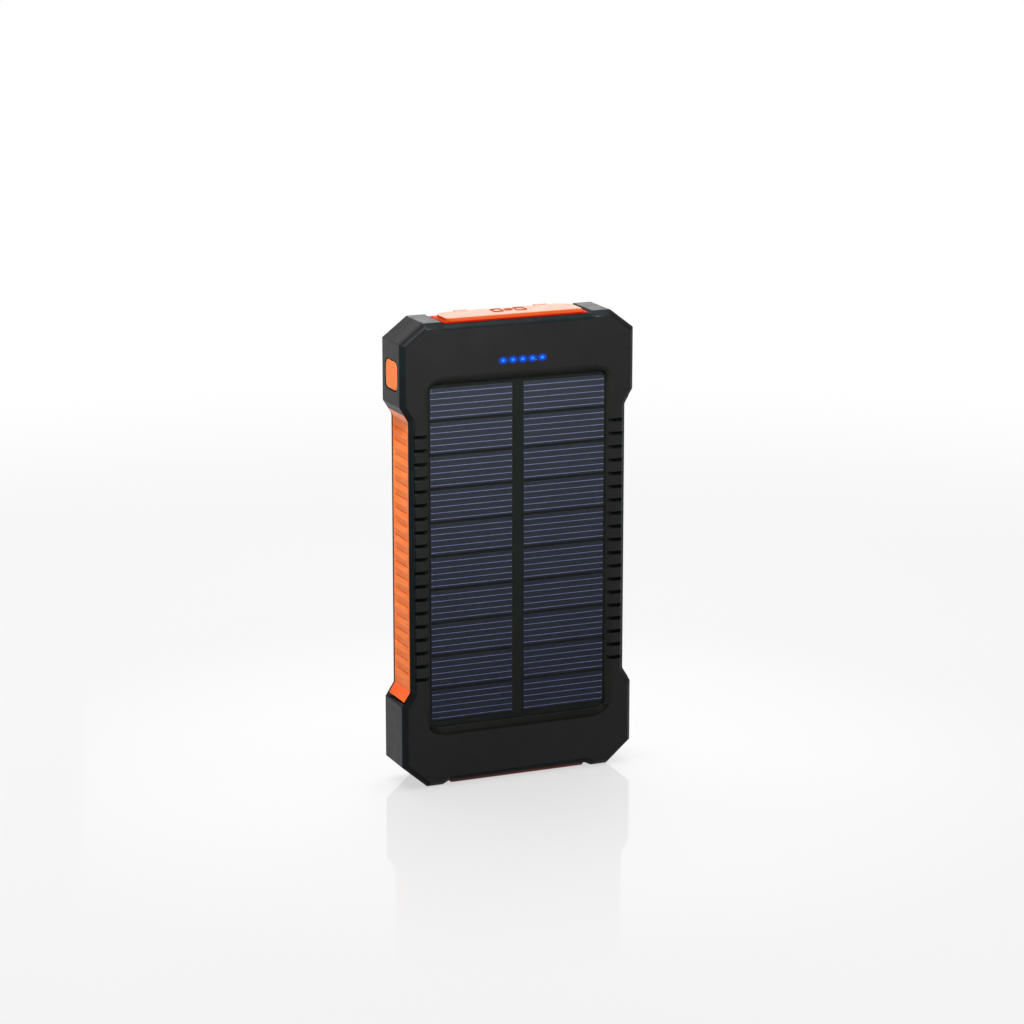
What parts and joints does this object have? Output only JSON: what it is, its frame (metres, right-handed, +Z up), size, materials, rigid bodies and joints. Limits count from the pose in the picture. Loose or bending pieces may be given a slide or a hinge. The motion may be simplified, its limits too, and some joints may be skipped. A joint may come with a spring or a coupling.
{
  "type": "solar phone charger",
  "caption": "Pocket solar battery charger with a solar panel face, charge lights, side power button and a hinged rubber flap over its sockets.",
  "frame": {"origin": "on the floor under the middle of the case, which stands on its feet", "axes": "+Z up along the case, -Y out of the solar face, +X to the right when facing the solar face"},
  "size_m": [0.0752, 0.016, 0.1426],
  "materials": {
    "case_black": "fine matte texture, black",
    "gasket_rubber": "matte black rubber",
    "grip_orange": "satin orange rubber",
    "flap_orange": "satin orange rubber",
    "button_orange": "satin orange plastic",
    "strip_red": "matte red-orange rubber",
    "panel_board": "black laminated board",
    "solar_cell": "dark blue-grey silicon with pale grid lines",
    "panel_cover": "clear resin",
    "adhesive": "foam tape",
    "light_guide": "clear guide lit blue",
    "light_chip": "moulded light chips",
    "circuit_board": "green solder mask",
    "steel": "bright plated steel",
    "screw_steel": "black zinc steel",
    "contact_gold": "gold plated",
    "socket_plastic": "white nylon",
    "chip_black": "epoxy",
    "inductor": "pressed ferrite",
    "ceramic": "tan ceramic",
    "switch_body": "black nylon",
    "reflector": "mirror bright",
    "torch_chip": "yellow phosphor",
    "lens": "clear acrylic",
    "pouch_foil": "laminated silver foil",
    "foam": "soft grey foam",
    "nickel": "nickel strip",
    "wire_red": "red insulated wire",
    "wire_black": "black insulated wire"
  },
  "bodies": {
    "case": {"front_shell": "case_black", "rear_shell": "case_black", "case_gasket": "gasket_rubber", "side_grip_left": "grip_orange", "side_grip_right": "grip_orange", "bottom_grip_strip": "strip_red", "flap_anchor": "flap_orange", "power_switch_body": "switch_body", "solar_panel_board": "panel_board", "solar_cells": "solar_cell", "solar_cover": "panel_cover", "panel_adhesive": "adhesive", "indicator_light_guide": "light_guide", "indicator_leds": "light_chip", "main_board": "circuit_board", "board_screws": "steel", "housing_screws": "screw_steel", "usb_socket_shell_left": "steel", "usb_socket_shell_right": "steel", "usb_tongue_left": "socket_plastic", "usb_tongue_right": "socket_plastic", "usb_contacts_left": "contact_gold", "usb_contacts_right": "contact_gold", "micro_socket_shell": "steel", "micro_tongue": "switch_body", "inductors": "inductor", "converter_chip": "chip_black", "charging_chip": "chip_black", "board_capacitors": "ceramic", "board_resistors": "chip_black", "torch_led": "torch_chip", "torch_reflector": "reflector", "torch_lens": "lens", "battery_pouch_front": "pouch_foil", "battery_pouch_rear": "pouch_foil", "foam_pad_front": "foam", "foam_pad_rear": "foam", "pouch_tape": "adhesive", "battery_guard_board": "circuit_board", "battery_tabs": "nickel", "battery_lead_positive": "wire_red", "battery_lead_negative": "wire_black", "solar_lead_positive": "wire_red", "solar_lead_negative": "wire_black"},
    "power_button": {"power_button": "button_orange", "power_switch_plunger": "switch_body"},
    "port_flap": {"port_flap": "flap_orange"}
  },
  "joints": [
    {"name": "button_press", "type": "slide", "parent": "case", "child": "power_button", "axis": [1, 0, 0], "range_m": [0, 0.0005], "stiffness_N_per_m": 3000},
    {"name": "flap_hinge", "type": "hinge", "parent": "case", "child": "port_flap", "pos_m": [0, 0.0072, 0.14175], "axis": [-1, 0, 0], "range_deg": [0, 150], "stiffness_Nm_per_rad": 0.0015}
  ]
}
